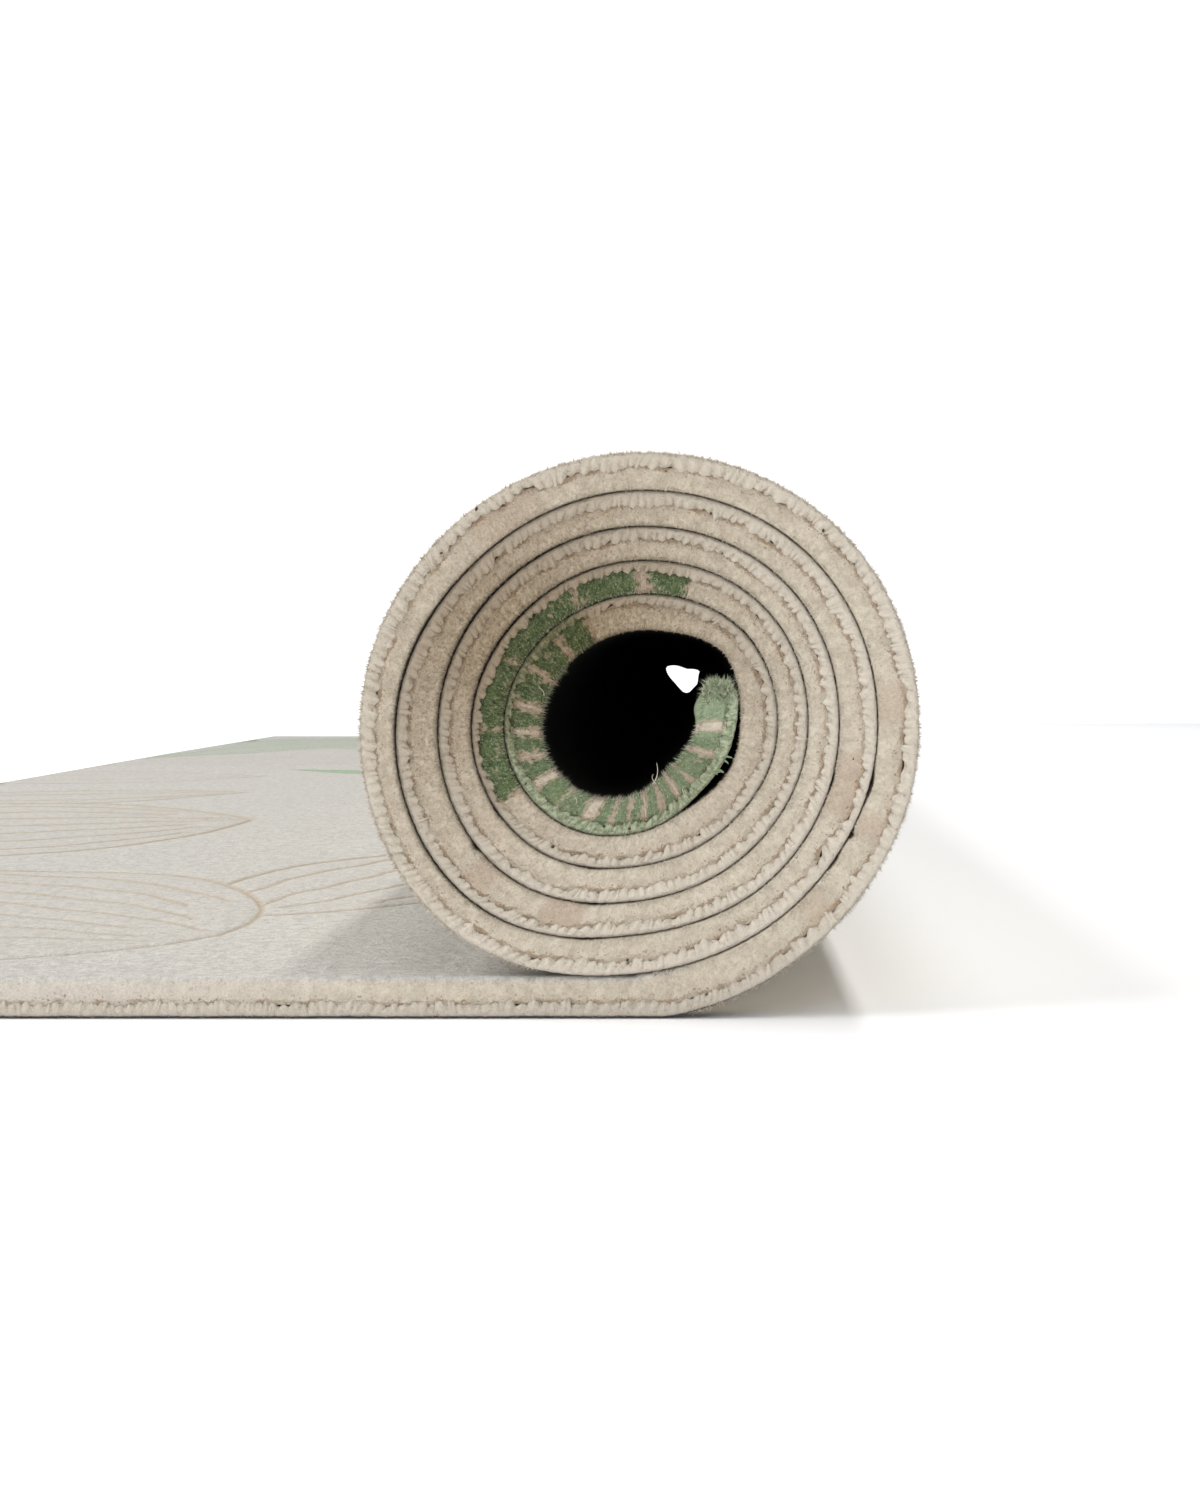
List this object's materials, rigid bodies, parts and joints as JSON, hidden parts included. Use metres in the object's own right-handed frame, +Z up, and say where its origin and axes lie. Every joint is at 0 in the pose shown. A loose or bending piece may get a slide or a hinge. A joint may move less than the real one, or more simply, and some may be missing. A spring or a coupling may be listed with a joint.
{
  "type": "rolled rug",
  "caption": "Tufted wool rug rolled up pile side in, its edges overcast with yarn and its last stretch lying flat on the floor.",
  "frame": {"origin": "on the floor face, under the roll's centre and half way along it", "axes": "+Y along the roll's axis, +Z up, and the flat stretch runs towards -X"},
  "size_m": [0.5947, 1.7, 0.1617],
  "materials": {
    "pile": "matt cut wool pile",
    "yarn": "matt overcast wool yarn"
  },
  "bodies": {
    "root": {"rug_sheet": "pile", "near_edging": "yarn", "far_edging": "yarn", "outer_end_edging": "yarn", "inner_end_edging": "yarn"}
  },
  "joints": []
}
